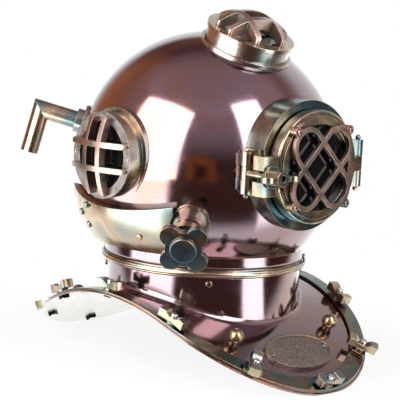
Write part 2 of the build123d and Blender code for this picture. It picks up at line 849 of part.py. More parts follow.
# Door: stepped frame with glass, bosses for the guard, the middle knuckle and the bolt's fork
glass_face = door_face - door_lip
ear_at = guard_ear_reach / sqrt(2)
ear_spots = [(x, y) for x in (-ear_at, ear_at) for y in (-ear_at, ear_at)]
with BuildPart() as door_frame:
    with BuildSketch(front_plane.offset(door_back)):
        Circle(door_r)
    extrude(amount=door_face - door_step - door_back)
    fillet(door_frame.edges().sort_by(Axis.Y)[0], radius=door_round)
    with BuildSketch(front_plane.offset(door_back)):
        Circle(door_step_r)
        with Locations(*ear_spots):
            Circle(guard_ear_r)
    extrude(amount=door_face - door_back)
    with BuildSketch(Plane.XY.offset(port_z - middle_knuckle_half)):
        with BuildLine():
            Polyline(
                (hinge_x, -barrel_face - move_gap),
                (hinge_x + lean, -hinge_y - lean),
                (door_r - door_round, -door_face + door_lip),
                (door_r - door_round, -barrel_face - move_gap),
                close=True,
            )
        make_face()
        with Locations((hinge_x, -hinge_y)):
            Circle(knuckle_r)
            Circle(hinge_pin_r + running_gap, mode=Mode.SUBTRACT)
    extrude(amount=2 * middle_knuckle_half)
    for low in (latch_z + fork_slot_half, latch_z - fork_outer_half):
        with BuildSketch(Plane.XY.offset(low)):
            with Locations((fork_root - door_r, -door_back - sheet)):
                Rectangle(
                    pivot_x + fork_out + fork_root - door_r,
                    2 * door_face,
                    align=(Align.MAX, Align.MAX),
                )
            with Locations((-pivot_x, -pivot_y)):
                Circle(fork_seat, mode=Mode.INTERSECT)
        extrude(amount=fork_outer_half - fork_slot_half)
    add(bore(front_plane, door_bore_r, door_face + overrun), mode=Mode.SUBTRACT)
    add(bore(front_plane, door_glass_r + seat_gap, glass_face), mode=Mode.SUBTRACT)
save(door_frame.part, "door_frame")

with BuildPart() as door_glass:
    with BuildSketch(front_plane.offset(glass_face - door_glass_thick)):
        Circle(door_glass_r)
    extrude(amount=door_glass_thick)
save(door_glass.part, "door_glass")

with BuildPart() as door_gasket:
    with BuildSketch(front_plane.offset(seat_ring_face)):
        Circle(seat_ring_r)
        Circle(door_glass_r + move_gap, mode=Mode.SUBTRACT)
    extrude(amount=door_gasket_thick)
save(door_gasket.part, "door_gasket")

# Door guard: two crossing slot rings with four screwed ears
guard_back = guard_face - guard_thick
with BuildPart() as door_guard:
    for way in (45, -45):
        with BuildSketch(front_plane.offset(guard_back)):
            SlotCenterToCenter(2 * guard_loop_reach, 2 * guard_loop_r + guard_bar, rotation=way)
            SlotCenterToCenter(
                2 * guard_loop_reach, 2 * guard_loop_r - guard_bar, rotation=way, mode=Mode.SUBTRACT
            )
        extrude(amount=guard_thick)
    with BuildSketch(front_plane.offset(door_face)):
        with Locations(*ear_spots):
            Circle(guard_ear_r)
    extrude(amount=guard_face - door_face)
save(door_guard.part, "door_guard")
ear_planes = [
    Plane(origin=(x, -guard_face, port_z + y), x_dir=(1, 0, 0), z_dir=(0, -1, 0)) for x, y in ear_spots
]
save(round_heads(ear_planes, guard_screw_r, guard_screw_head), "door_guard_screws")


def guard(plane, plate_face, apex, reach, upright_at, level_at, depth, turn=0.0):
    """Four crossing bars, arched over a port as slices of one ball's skin, with flat feet."""
    rise = apex - plate_face - bar_end_height
    arch_r = (reach**2 + rise**2) / (2 * rise)
    seat = spun(plane.offset(plate_face), turn)
    with BuildPart() as bars:
        with BuildSketch(seat):
            with Locations((upright_at, 0), (-upright_at, 0)):
                SlotOverall(2 * sqrt(reach**2 - upright_at**2), bar_width, rotation=90)
            with Locations((0, level_at), (0, -level_at)):
                SlotOverall(2 * sqrt(reach**2 - level_at**2), bar_width)
        extrude(amount=apex - plate_face + overrun)
        with Locations(plane.offset(apex - arch_r).origin):
            Sphere(arch_r, mode=Mode.INTERSECT)
            Sphere(arch_r - depth, mode=Mode.SUBTRACT)
    return bars.part


def port(plane, flange, barrel, bore_r, glass_r, glass_thick, plate, name):
    """A fixed port: ring on the dome, glass in its mouth and a face plate over it."""
    with BuildPart() as ring:
        for radius, face in (flange, barrel):
            with BuildSketch(plane):
                Circle(radius)
            extrude(amount=face)
        add(bore(plane, bore_r), mode=Mode.SUBTRACT)
        with BuildSketch(plane.offset(barrel[1] - glass_thick)):
            Circle(glass_r + seat_gap)
        extrude(amount=glass_thick, mode=Mode.SUBTRACT)
        add(dome_space, mode=Mode.SUBTRACT)
    save(ring.part, f"{name}_port_ring")
    with BuildPart() as glass:
        with BuildSketch(plane.offset(barrel[1] - glass_thick)):
            Circle(glass_r)
        extrude(amount=glass_thick)
    save(glass.part, f"{name}_port_glass")
    with BuildPart() as face_plate:
        with BuildSketch(plane.offset(barrel[1])):
            Circle(plate[0])
            Circle(bore_r, mode=Mode.SUBTRACT)
        extrude(amount=plate[1] - barrel[1])
    save(face_plate.part, f"{name}_port_plate")


def port_screws(plane, face, reach, turn=0.0):
    seat = spun(plane.offset(face), turn)
    return [
        Plane(origin=seat.origin + seat.x_dir * x, x_dir=seat.x_dir, z_dir=seat.z_dir)
        for x in (-reach, reach)
    ]


port_screw_planes = []
for name, plane in (("right", right_plane), ("left", left_plane)):
    port(
        plane,
        (side_flange_r, side_flange_face),
        (side_barrel_r, side_barrel_face),
        side_bore_r,
        side_glass_r,
        side_glass_thick,
        (side_plate_r, side_plate_face),
        name,
    )
    bars = guard(
        plane,
        side_plate_face,
        side_guard_apex,
        side_guard_reach,
        side_guard_upright_at,
        side_guard_level_at,
        side_bar_depth,
    )
    save(bars, f"{name}_port_guard")
    port_screw_planes += port_screws(plane, side_plate_face, side_screw_at)
port(
    top_plane,
    (top_flange_r, top_flange_face),
    (top_barrel_r, top_barrel_face),
    top_bore_r,
    top_glass_r,
    top_glass_thick,
    (top_plate_r, top_plate_face),
    "top",
)
bars = guard(
    top_plane,
    top_plate_face,
    top_guard_apex,
    top_guard_reach,
    top_guard_upright_at,
    top_guard_level_at,
    top_bar_depth,
    top_guard_turn,
)
save(bars, "top_port_guard")
port_screw_planes += port_screws(top_plane, top_plate_face, top_screw_at, top_guard_turn)
save(round_heads(port_screw_planes, port_screw_r, port_screw_head), "port_screws")


# Exhaust: a curved channel round the right side, ending at the valve
def channel_point(rise_turn, rise):
    """(distance from the neck axis, z) at an elevation from the dome's centre, rise over the dome."""
    reach = dome_r + rise
    return (reach * cos(radians(rise_turn)), dome_z + reach * sin(radians(rise_turn)))


def channel_sweep(inset, trim):
    """The channel's section between dome and skin, drawn in by inset, swept round the neck axis."""
    turn_in = degrees(inset / dome_r)
    top, foot = channel_top - turn_in, channel_foot + turn_in
    mid = (channel_top + channel_foot) / 2
    start = towards(channel_from + trim, 0)
    section = Plane(origin=(0, 0, 0), x_dir=start, z_dir=start.cross(Vector(0, 0, 1)))
    with BuildPart() as swept:
        with BuildSketch(section):
            with BuildLine():
                near = Line(
                    channel_point(top, seat_gap - inset), channel_point(top, channel_top_rise - inset)
                )
                skin = ThreePointArc(
                    near @ 1,
                    channel_point(mid, channel_belly_rise - inset),
                    channel_point(foot, channel_foot_rise - inset),
                )
                far = Line(skin @ 1, channel_point(foot, seat_gap - inset))
                ThreePointArc(far @ 1, channel_point(mid, seat_gap - inset), near @ 0)
            make_face()
        revolve(axis=Axis.Z, revolution_arc=channel_to - channel_from - 2 * trim)
    return swept.part


def channel(inset, trim):
    """The swept channel under a wide arc that gives its upper edge a dip in the side view."""
    over = Vector(0, channel_dip_y, channel_dip_z + channel_dip_r)
    with BuildPart() as dipped:
        add(channel_sweep(inset, trim))
        with BuildSketch(Plane(origin=over, x_dir=(0, -1, 0), z_dir=(-1, 0, 0))):
            Circle(channel_dip_r + inset)
        extrude(amount=dome_r + overrun, mode=Mode.SUBTRACT)
    return dipped.part


with BuildPart() as exhaust_channel:
    add(channel(0, 0))
    add(channel(channel_wall, degrees(channel_wall / dome_r)), mode=Mode.SUBTRACT)
    add(bore(valve_plane, valve_flange_r + seat_gap), mode=Mode.SUBTRACT)
    add(bore(right_plane, side_flange_r + seat_gap), mode=Mode.SUBTRACT)
save(exhaust_channel.part, "exhaust_channel")
channel_skin = channel_sweep(-seat_gap, 0)
with BuildPart() as exhaust_channel_screws:
    for turn, rise in channel_screws:
        crown = dome_plane(turn, rise, dome_r + channel_belly_rise + channel_screw_head)
        with BuildSketch(crown):
            Circle(channel_screw_r)
        extrude(amount=-2 * channel_screw_head)
        rounds = exhaust_channel_screws.edges().filter_by(GeomType.CIRCLE)
        fillet(rounds.sort_by_distance(crown.origin)[0], radius=channel_screw_head / 2)
    add(channel_skin, mode=Mode.SUBTRACT)
save(exhaust_channel_screws.part, "exhaust_channel_screws")


def turned(plane, points):
    """A solid turned round a plane's normal through points of (radius, distance)."""
    section = Plane(origin=plane.origin, x_dir=plane.x_dir, z_dir=-plane.y_dir)
    with BuildPart() as solid:
        with BuildSketch(section):
            with BuildLine():
                Polyline(*points, close=True)
            make_face()
        revolve(axis=Axis(plane.origin, plane.z_dir))
    return solid.part


valve_seat = dome_r + valve_flange
valve_step = (valve_face - valve_seat) / 5
with BuildPart() as exhaust_valve_body:
    add(
        turned(
            valve_plane,
            [
                (0, dome_r - overrun),
                (valve_flange_r, dome_r - overrun),
                (valve_flange_r, valve_seat),
                (valve_r, valve_seat),
                (valve_waist_r, valve_seat + 2 * valve_step),
                (valve_waist_r, valve_seat + 3 * valve_step),
                (valve_r, valve_seat + 4 * valve_step),
                (valve_mouth_r, valve_face),
                (0, valve_face),
            ],
        )
    )
    add(bore(valve_plane, valve_bore_r, valve_face - 2 * channel_wall), mode=Mode.SUBTRACT)
    add(bore(valve_plane, stem_r + running_gap, valve_face), mode=Mode.SUBTRACT)
    add(dome_space, mode=Mode.SUBTRACT)
save(exhaust_valve_body.part, "exhaust_valve_body")

wheel_top = wheel_at + wheel_thick
with BuildPart() as exhaust_handwheel:
    with BuildSketch(valve_plane.offset(wheel_at)) as petals:
        Circle(wheel_r - wheel_lobe_r)
        with PolarLocations(wheel_r - wheel_lobe_r, 4, start_angle=45):
            Circle(wheel_lobe_r)
        middle = valve_plane.offset(wheel_at).origin
        notches = [v for v in petals.vertices() if (Vector(*v) - middle).length < wheel_r - wheel_lobe_r / 2]
        fillet(notches, radius=wheel_notch_r)
    extrude(amount=wheel_thick)
    with BuildSketch(valve_plane.offset(wheel_top)):
        Circle(wheel_cap_r)
    extrude(amount=wheel_cap)
    rounds = exhaust_handwheel.edges().filter_by(GeomType.CIRCLE)
    crown = valve_plane.offset(wheel_top + wheel_cap).origin
    fillet(rounds.sort_by_distance(crown)[0], radius=wheel_cap_round)
    with BuildSketch(valve_plane.offset(valve_face + move_gap)):
        Circle(wheel_hub_r)
    extrude(amount=wheel_at - valve_face - move_gap)
    add(pins([valve_plane], stem_r, valve_seat + valve_step, wheel_at))
save(exhaust_handwheel.part, "exhaust_handwheel")

# Goosenecks at the back: mitred pipes on round flanges
for side, plane in elbow_planes.items():
    corner = plane.offset(elbow_at).origin
    with BuildPart() as gooseneck:
        for radius, mode in ((pipe_r, Mode.ADD), (pipe_bore_r, Mode.SUBTRACT)):
            with BuildLine() as route:
                Polyline(plane.offset(dome_r - overrun).origin, corner, corner - plane.y_dir * elbow_drop)
            with BuildSketch(plane.offset(dome_r - overrun)):
                Circle(radius)
            sweep(path=route.wires()[0], transition=Transition.RIGHT, mode=mode)
        add(dome_space, mode=Mode.SUBTRACT)
    save(gooseneck.part, f"{side}_gooseneck")
    with BuildPart() as flange:
        with BuildSketch(plane):
            Circle(elbow_flange_r)
        extrude(amount=dome_r + elbow_flange)
        with BuildSketch(plane):
            Circle(elbow_ring_r)
        extrude(amount=dome_r + elbow_flange + elbow_ring)
        add(bore(plane, pipe_r + seat_gap), mode=Mode.SUBTRACT)
        add(dome_space, mode=Mode.SUBTRACT)
    save(flange.part, f"{side}_gooseneck_flange")
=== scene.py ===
import json
import math

import bpy
from mathutils import Matrix, Vector

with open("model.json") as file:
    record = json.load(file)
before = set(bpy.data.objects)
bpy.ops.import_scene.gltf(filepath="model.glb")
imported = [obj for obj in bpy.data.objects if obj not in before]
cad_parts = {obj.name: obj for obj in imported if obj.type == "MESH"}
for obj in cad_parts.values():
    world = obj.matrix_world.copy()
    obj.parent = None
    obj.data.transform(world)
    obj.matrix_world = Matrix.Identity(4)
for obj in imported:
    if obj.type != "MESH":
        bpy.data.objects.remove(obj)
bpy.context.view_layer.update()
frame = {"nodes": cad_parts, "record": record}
nodes = frame["nodes"]
print("frame loaded:", len(nodes), "nodes")

scene = bpy.context.scene
scene.view_settings.view_transform = "Standard"

# settings that many nodes share; a Mix node takes the share in socket 0, the colour under in 6 and over in 7
blended = {"data_type": "RGBA"}
multiplied = {"data_type": "RGBA", "blend_type": "MULTIPLY"}
clamped = {"clamp": True}
smoothed = {"clamp": True, "interpolation_type": "SMOOTHSTEP"}
dotProduct = {"operation": "DOT_PRODUCT"}


def toLinear(hexText):  # sRGB hex to linear RGBA
    parts = [int(hexText.lstrip("#")[i:i + 2], 16) / 255 for i in (0, 2, 4)]
    return tuple(c / 12.92 if c <= 0.04045 else ((c + 0.055) / 1.055) ** 2.4 for c in parts) + (1.0,)


def feed(node, links):  # gives each socket a value, or links it to another node's output
    for socket, source in links.items():
        if isinstance(source, bpy.types.NodeSocket):
            node.id_data.links.new(source, node.inputs[socket])
        else:
            node.inputs[socket].default_value = source


def addNode(tree, kind, settings=None, links=None):
    # settings are node properties ("stops" fills a colour ramp), links hold a value or another node's output
    node = tree.nodes.new("ShaderNode" + kind)
    for key, value in (settings or {}).items():
        if key != "stops":
            setattr(node, key, value)
            continue
        band = node.color_ramp
        while len(band.elements) < len(value):
            band.elements.new(0.5)
        for element, (position, colour) in zip(band.elements, value):
            element.position = position
            element.color = toLinear(colour)
    feed(node, links or {})
    return node


def newMaterial(name):
    material = bpy.data.materials.new(name)
    material.use_nodes = True
    tree = material.node_tree
    tree.nodes.clear()
    shader = addNode(tree, "BsdfPrincipled")
    addNode(tree, "OutputMaterial", links={"Surface": shader.outputs[0]})
    where = addNode(tree, "TexCoord").outputs["Object"]
    return material, tree, shader, where


noise = {"rough": 0.55, "span": (0.32, 0.68)}  # nearly all values lie in the span: its ends give low and high


def mottle(tree, where, sizeMm, low, high, detail=3.0, stretch=(1, 1, 1), offset=0.0):
    # soft spots sizeMm across, longer along an axis whose stretch is above 1, as a value from low to high; where
    # it reads a direction and not a place, a size of 1000 is the direction's own length
    laid = addNode(tree, "Mapping", links={
        "Vector": where, "Scale": tuple(1000 / (sizeMm * s) for s in stretch),
        "Location": (offset, offset / 2, -offset)})
    spots = addNode(tree, "TexNoise", links={
        "Vector": laid.outputs[0], "Scale": 1.0, "Detail": detail, "Roughness": noise["rough"]})
    return addNode(tree, "MapRange", clamped, {
        "Value": spots.outputs["Fac"], "From Min": noise["span"][0], "From Max": noise["span"][1],
        "To Min": low, "To Max": high}).outputs[0]


edgeTurn = (0.99, 0.82)  # how far the softened normal agrees with the flat one, on a flat and on a sharp edge


def rubbedEdge(tree, radiusMm):
    # how sharp the solid is within radiusMm, from 0 on a flat to 1 on an edge, and the softened normal there
    soft = addNode(tree, "Bevel", {"samples": 4}, {"Radius": radiusMm / 1000}).outputs[0]
    flat = addNode(tree, "NewGeometry").outputs["Normal"]
    same = addNode(tree, "VectorMath", dotProduct, {0: soft, 1: flat}).outputs["Value"]
    sharp = addNode(tree, "MapRange", clamped, {
        "Value": same, "From Min": edgeTurn[0], "From Max": edgeTurn[1]}).outputs[0]
    return sharp, soft


copperLook = {
    "plum": "#8b7a81", "brown": "#8c7473", "copper": "#917168", "rubbed": "#c27f54", "tin": "#c4c1b8",
    "patchMm": 90, "edgeMm": 0.9, "wipeMm": 3.0, "hazeMm": 26,
    "lineMm": 0.9,  # the real lines are under 0.1 mm apart; they are drawn coarser so that they show
    "lineShade": (0.93, 1.05), "wipeShade": (0.86, 1.04), "ripple": 0.035, "rippleMm": 0.2,
    "rough": (0.08, 0.16), "tinRough": 0.2, "lacquer": 0.6, "lacquerRough": 0.04,
    "ring": (60, 60, 1), "swipe": (1, 14, 1),  # the lines lie level, the marks wiped in the tin run front to back
    "domeCentre": (0.0, 0.0, 0.246),
}


def plumCopper(name, outward, look=copperLook):
    # Copper sheet spun over a former, darkened chemically to plum, buffed and lacquered: a clear mirror over fine
    # turned lines, browner and redder in soft patches, bare copper on the edges and plain tin on the inner face.
    material, tree, shader, where = newMaterial(name)
    tone = addNode(tree, "ValToRGB", {"stops": [
        (0.35, look["plum"]), (0.75, look["brown"]), (1.0, look["copper"])]}, {
        "Fac": mottle(tree, where, look["patchMm"], 0.0, 1.0, detail=2.0)}).outputs[0]
    lines = mottle(tree, where, look["lineMm"], *look["lineShade"], detail=2.0, stretch=look["ring"])
    turned = addNode(tree, "Mix", multiplied, {0: 1.0, 6: tone, 7: lines}).outputs[2]
    edge, soft = rubbedEdge(tree, look["edgeMm"])
    worn = addNode(tree, "Mix", blended, {0: edge, 6: turned, 7: toLinear(look["rubbed"])}).outputs[2]

    if outward == "dome":  # the outer face looks away from the dome's centre
        away = addNode(tree, "VectorMath", {"operation": "SUBTRACT"}, {0: where, 1: look["domeCentre"]})
    else:  # the outer face of the collar looks away from the neck axis, and that of the saddle looks up
        level = addNode(tree, "VectorMath", {"operation": "MULTIPLY"}, {0: where, 1: (1.0, 1.0, 0.0)})
        unit = addNode(tree, "VectorMath", {"operation": "NORMALIZE"}, {0: level.outputs[0]})
        away = addNode(tree, "VectorMath", {"operation": "ADD"}, {0: unit.outputs[0], 1: (0.0, 0.0, 1.0)})
    normal = addNode(tree, "NewGeometry").outputs["Normal"]
    facing = addNode(tree, "VectorMath", dotProduct, {0: away.outputs[0], 1: normal}).outputs["Value"]
    inner = addNode(tree, "Math", {"operation": "LESS_THAN"}, {0: facing, 1: 0.0}).outputs[0]
    wiped = mottle(tree, where, look["wipeMm"], *look["wipeShade"], stretch=look["swipe"])
    tin = addNode(tree, "Mix", multiplied, {0: 1.0, 6: toLinear(look["tin"]), 7: wiped}).outputs[2]

    colour = addNode(tree, "Mix", blended, {0: inner, 6: worn, 7: tin}).outputs[2]
    haze = mottle(tree, where, look["hazeMm"], *look["rough"], detail=4.0)
    rough = addNode(tree, "Math", {"operation": "MULTIPLY_ADD"}, {
        0: inner, 1: look["tinRough"], 2: haze}).outputs[0]
    ripple = addNode(tree, "Bump", links={
        "Height": mottle(tree, where, look["lineMm"], 0.0, 1.0, detail=2.0, stretch=look["ring"], offset=3.0),
        "Strength": look["ripple"], "Distance": look["rippleMm"] / 1000, "Normal": soft}).outputs[0]
    feed(shader, {
        "Base Color": colour, "Roughness": rough, "Normal": ripple, "Metallic": 1.0,
        "Coat Weight": look["lacquer"], "Coat Roughness": look["lacquerRough"]})
    return material


brassLook = {
    "straw": "#b6a88b", "olive": "#99967f", "teal": "#718688", "rose": "#a48c7f",
    "cornerShade": "#2c2723", "rubbed": "#c9b094",
    "cloudMm": 64, "edgeMm": 0.9, "cornerMm": 7, "hazeMm": 18,
    "grainMm": 0.7,  # the real buffing lines are under 0.1 mm apart; they are drawn coarser so that they show
    "grainShade": (0.96, 1.03), "scratch": 0.015, "scratchMm": 0.2, "upright": (1, 1, 12),
    "wear": 0.8, "cornerShadeShare": 0.75, "cornerShadeSpan": (0.35, 0.8),  # how far edges are rubbed, and how dark the painted shade in the corners grows
    "gloss": 0.22, "haze": (-0.04, 0.09), "lacquer": 0.3, "lacquerRough": 0.08,
}


def tintedBrass(name, changes=None):
    # Cast brass, buffed on a wheel and heat-tinted: a thin oxide film runs from straw through rose to teal in soft
    # clouds, rubbed back to pinkish metal on the edges, with painted shade darkening the corners.
    look = dict(brassLook, **(changes or {}))
    material, tree, shader, where = newMaterial(name)
    film = addNode(tree, "ValToRGB", {"stops": [
        (0.05, look["teal"]), (0.27, look["olive"]), (0.45, look["straw"]), (0.60, look["rose"]),
        (0.74, look["olive"]), (0.95, look["teal"])]}, {
        "Fac": mottle(tree, where, look["cloudMm"], 0.0, 1.0, detail=1.6)}).outputs[0]
    grain = mottle(tree, where, look["grainMm"], *look["grainShade"], detail=2.0, stretch=look["upright"])
    buffed = addNode(tree, "Mix", multiplied, {0: 1.0, 6: film, 7: grain}).outputs[2]
    edge, soft = rubbedEdge(tree, look["edgeMm"])
    share = addNode(tree, "Math", {"operation": "MULTIPLY"}, {0: edge, 1: look["wear"]}).outputs[0]
    worn = addNode(tree, "Mix", blended, {0: share, 6: buffed, 7: toLinear(look["rubbed"])}).outputs[2]
    # painted shade: ambient occlusion darkens the brass colour in the corners, towards the dark corner colour
    corner = addNode(tree, "AmbientOcclusion", {"samples": 4, "only_local": False}, {
        "Distance": look["cornerMm"] / 1000}).outputs["AO"]
    cornerShadeShare = addNode(tree, "MapRange", clamped, {
        "Value": corner, "From Min": look["cornerShadeSpan"][0], "From Max": look["cornerShadeSpan"][1],
        "To Min": look["cornerShadeShare"], "To Max": 0.0}).outputs[0]
    colour = addNode(tree, "Mix", blended, {0: cornerShadeShare, 6: worn, 7: toLinear(look["cornerShade"])}).outputs[2]
    low, high = (look["gloss"] + change for change in look["haze"])
    scratch = addNode(tree, "Bump", links={
        "Height": mottle(tree, where, look["grainMm"], 0.0, 1.0, detail=2.0, stretch=look["upright"], offset=5.0),
        "Strength": look["scratch"], "Distance": look["scratchMm"] / 1000, "Normal": soft}).outputs[0]
    feed(shader, {
        "Base Color": colour, "Roughness": mottle(tree, where, look["hazeMm"], low, high, detail=4.0),
        "Normal": scratch, "Metallic": 1.0,
        "Coat Weight": look["lacquer"], "Coat Roughness": look["lacquerRough"]})
    return material


plateLook = {
    "dark": "#6a6058", "warm": "#7a6c63", "tops": "#b9aba0", "rubbed": "#b9a68e",
    "grainMm": 1.3, "grainTop": (0.55, 0.15), "grainSoft": 0.4, "patchMm": 30, "edgeMm": 0.9,
    "punch": 0.7, "punchMm": 0.4, "rough": 0.34,
}


def stampedPlate(name, look=plateLook):
    # Brass sheet matted with a round punch, then darkened: round grains, rubbed bright on their tops and dark
    # between them. The real grains are a little finer, and are drawn coarser so that they show.
    material, tree, shader, where = newMaterial(name)
    laid = addNode(tree, "Mapping", links={"Vector": where, "Scale": (1000 / look["grainMm"],) * 3}).outputs[0]
    grains = addNode(tree, "TexVoronoi", {"feature": "SMOOTH_F1"}, {
        "Vector": laid, "Scale": 1.0, "Smoothness": look["grainSoft"]}).outputs["Distance"]
    top = addNode(tree, "MapRange", clamped, {
        "Value": grains, "From Min": look["grainTop"][0], "From Max": look["grainTop"][1]}).outputs[0]
    patches = mottle(tree, where, look["patchMm"], 0.0, 1.0)
    old = addNode(tree, "Mix", blended, {
        0: patches, 6: toLinear(look["dark"]), 7: toLinear(look["warm"])}).outputs[2]
    grained = addNode(tree, "Mix", blended, {0: top, 6: old, 7: toLinear(look["tops"])}).outputs[2]
    edge, soft = rubbedEdge(tree, look["edgeMm"])
    worn = addNode(tree, "Mix", blended, {0: edge, 6: grained, 7: toLinear(look["rubbed"])}).outputs[2]
    punched = addNode(tree, "Bump", links={
        "Height": top, "Strength": look["punch"], "Distance": look["punchMm"] / 1000, "Normal": soft}).outputs[0]
    feed(shader, {"Base Color": worn, "Normal": punched, "Metallic": 1.0, "Roughness": look["rough"]})
    return material


glassLook = {"insideShade": "#040506", "smear": "#0d0f12", "smearMm": 22, "rough": (0.02, 0.08), "ior": 1.52}


def plateGlass(name, look=glassLook):
    # Thick plate glass over the unlit inside of the helmet, drawn opaque: its near-black colour is painted shade
    # for the dark inside, with clear reflections and a faint smear.
    material, tree, shader, where = newMaterial(name)
    smear = mottle(tree, where, look["smearMm"], 0.0, 1.0)
    # painted shade: the near-black glass colour stands in for the dark inside of the helmet
    colour = addNode(tree, "Mix", blended, {
        0: smear, 6: toLinear(look["insideShade"]), 7: toLinear(look["smear"])}).outputs[2]
    feed(shader, {
        "Base Color": colour, "Roughness": mottle(tree, where, look["smearMm"], *look["rough"]),
        "IOR": look["ior"]})
    return material


toolMarks = {
    "lineShade": (0.88, 1.06), "upright": (1, 1, 12), "handMm": 12, "handShade": (0.95, 1.02),
    "edgeMm": 0.5, "hazeMm": 9, "haze": (-0.05, 0.08),
}


def turnedMetal(name, colour, rough, lineMm, look=toolMarks):
    # Steel or silvered brass, turned or milled: one plain colour, broken by tool lines and light handling marks.
    # The real lines are 0.1 to 0.2 mm apart, and lineMm draws them coarser so that they show.
    material, tree, shader, where = newMaterial(name)
    lines = mottle(tree, where, lineMm, *look["lineShade"], detail=2.0, stretch=look["upright"])
    lined = addNode(tree, "Mix", multiplied, {0: 1.0, 6: toLinear(colour), 7: lines}).outputs[2]
    marks = mottle(tree, where, look["handMm"], *look["handShade"])
    handled = addNode(tree, "Mix", multiplied, {0: 1.0, 6: lined, 7: marks}).outputs[2]
    soft = rubbedEdge(tree, look["edgeMm"])[1]
    low, high = (rough + change for change in look["haze"])
    feed(shader, {
        "Base Color": handled, "Normal": soft, "Metallic": 1.0,
        "Roughness": mottle(tree, where, look["hazeMm"], low, high)})
    return material


poreLook = {"poreMm": 0.9, "shade": (0.8, 1.15), "depth": 0.4, "depthMm": 0.2}


def softSeal(name, colour, rough, look=poreLook):
    # Tanned leather, greased, or moulded rubber: dark and dull, with a fine pore that is drawn coarser than the
    # real one so that it shows.
    material, tree, shader, where = newMaterial(name)
    shade = mottle(tree, where, look["poreMm"], *look["shade"])
    tone = addNode(tree, "Mix", multiplied, {0: 1.0, 6: toLinear(colour), 7: shade}).outputs[2]
    pore = addNode(tree, "Bump", links={
        "Height": mottle(tree, where, look["poreMm"], 0.0, 1.0),
        "Strength": look["depth"], "Distance": look["depthMm"] / 1000}).outputs[0]
    feed(shader, {"Base Color": tone, "Normal": pore, "Roughness": rough})
    return material


finishes = {  # by the record's material slot
    # rolled strip, darkened deep olive and teal, with coppery edges
    "strap_copper": tintedBrass("darkenedStrapBrass", {
        "straw": "#73705f", "olive": "#5f6a60", "teal": "#4a626a", "rose": "#6f5c50", "rubbed": "#d79a70"}),
    # castings buffed bright, pale straw
    "bright_brass": tintedBrass("buffedCastBrass", {
        "straw": "#bbac8f", "olive": "#a69e8a", "teal": "#8e9692", "rose": "#ab9484"}),
    "heat_tinted_brass": tintedBrass("heatTintedBrass"),
    # cast bronze bars, duller and rubbed pinkish
    "guard_bronze": tintedBrass("rubbedBronze", {
        "straw": "#b09a8c", "olive": "#9c8b80", "teal": "#8a8480", "rose": "#a08078",
        "rubbed": "#d0b6aa", "gloss": 0.3}),
    "silvered_plate": turnedMetal("silveredBrassPlate", "#a8a19c", 0.3, 0.8),  # warm pale grey, soft gloss
    "stud_steel": turnedMetal("turnedStudSteel", "#cfcecb", 0.2, 0.6),  # bright, with close lines
    "blackened_steel": turnedMetal("blackenedSteel", "#1a1a1c", 0.5, 0.8),  # near black and dull, from hot oil
    "dark_glass": plateGlass("plateGlass"),
    "gasket_leather": softSeal("greasedLeather", "#2b1d16", 0.7),
    "seal_rubber": softSeal("mouldedRubber", "#151515", 0.6),
}
ownFinish = {  # by node, where the photograph shows a piece differ from its slot
    "bonnet_shell": plumCopper("spunPlumCopper", "dome"),
    "breastplate_shell": plumCopper("raisedPlumCopper", "saddle"),
    # heated longest, so mostly teal
    "front_port_barrel": tintedBrass("tealTintedBrass", {
        "straw": "#8b8c7a", "olive": "#6c7b78", "teal": "#4d666e", "rose": "#83786d"}),
    # sheet brass with most of its tint wiped off, in wide clouds
    "exhaust_channel": tintedBrass("wipedChannelBrass", {
        "straw": "#c4b396", "olive": "#a99e88", "teal": "#84908c", "rose": "#b39883", "cloudMm": 80}),
    # the side guards' bronze, made paler on top of the helmet as painted light from above
    "top_port_guard": tintedBrass("topLitGuardBronze", {
        "straw": "#cdbcac", "olive": "#bbad9f", "teal": "#a6a29b", "rose": "#bfa393",
        "rubbed": "#e4d0c2", "gloss": 0.3}),
    # an unbuffed casting, teal to brown
    "exhaust_handwheel": tintedBrass("tealTintedCasting", {
        "straw": "#7f7b6a", "olive": "#66716d", "teal": "#546a76", "rose": "#806c62", "gloss": 0.27}),
    # turned from bar and left yellower
    "ball_knobs": tintedBrass("turnedKnobBrass", {
        "straw": "#a08d69", "olive": "#8f8468", "teal": "#7c7a68", "rose": "#937a64", "gloss": 0.27}),
    "oval_plate": stampedPlate("mattedPlateBrass"),
    # turned ring, nearly silver
    "top_port_ring": tintedBrass("silveredPortBrass", {
        "straw": "#c4bdb2", "olive": "#a9a89e", "teal": "#929a9a", "rose": "#b09a90", "rubbed": "#d8c4b4"}),
}
slotOf = {entry["node"]: entry["material_slot"] for entry in frame["record"]["subparts"]}
for name, obj in nodes.items():
    finish = ownFinish.get(name) or finishes[slotOf[name]]
    if not obj.material_slots:
        obj.data.materials.append(finish)
    for slot in obj.material_slots:
        slot.material = finish
print("finishes on", len(nodes), "nodes")


cameraLook = {  # angles in degrees, the place in m, the focal length in pixels of the photograph's frame
    "turn": -44.74, "drop": 8.31, "roll": 2.90, "place": (-1.4439, -1.4453, 0.4940),
    "nudge": 1.3,  # carries the camera round the neck axis after the fit
    "focalPx": 1657.1, "framePx": 400, "sensorMm": 36.0, "clipEnd": 50,
}
turn = math.radians(cameraLook["turn"] + cameraLook["nudge"])
drop = math.radians(cameraLook["drop"])
roll = math.radians(cameraLook["roll"])
forward = Vector((-math.sin(turn) * math.cos(drop), math.cos(turn) * math.cos(drop), -math.sin(drop)))
right = Vector((math.cos(turn), math.sin(turn), 0))
up = right.cross(forward)
tiltRight = math.cos(roll) * right + math.sin(roll) * up
tiltUp = -math.sin(roll) * right + math.cos(roll) * up
place = Matrix.Rotation(math.radians(cameraLook["nudge"]), 3, "Z") @ Vector(cameraLook["place"])
cameraData = bpy.data.cameras.new("photoCamera")
cameraData.sensor_width = cameraLook["sensorMm"]
cameraData.lens = cameraLook["focalPx"] / cameraLook["framePx"] * cameraLook["sensorMm"]
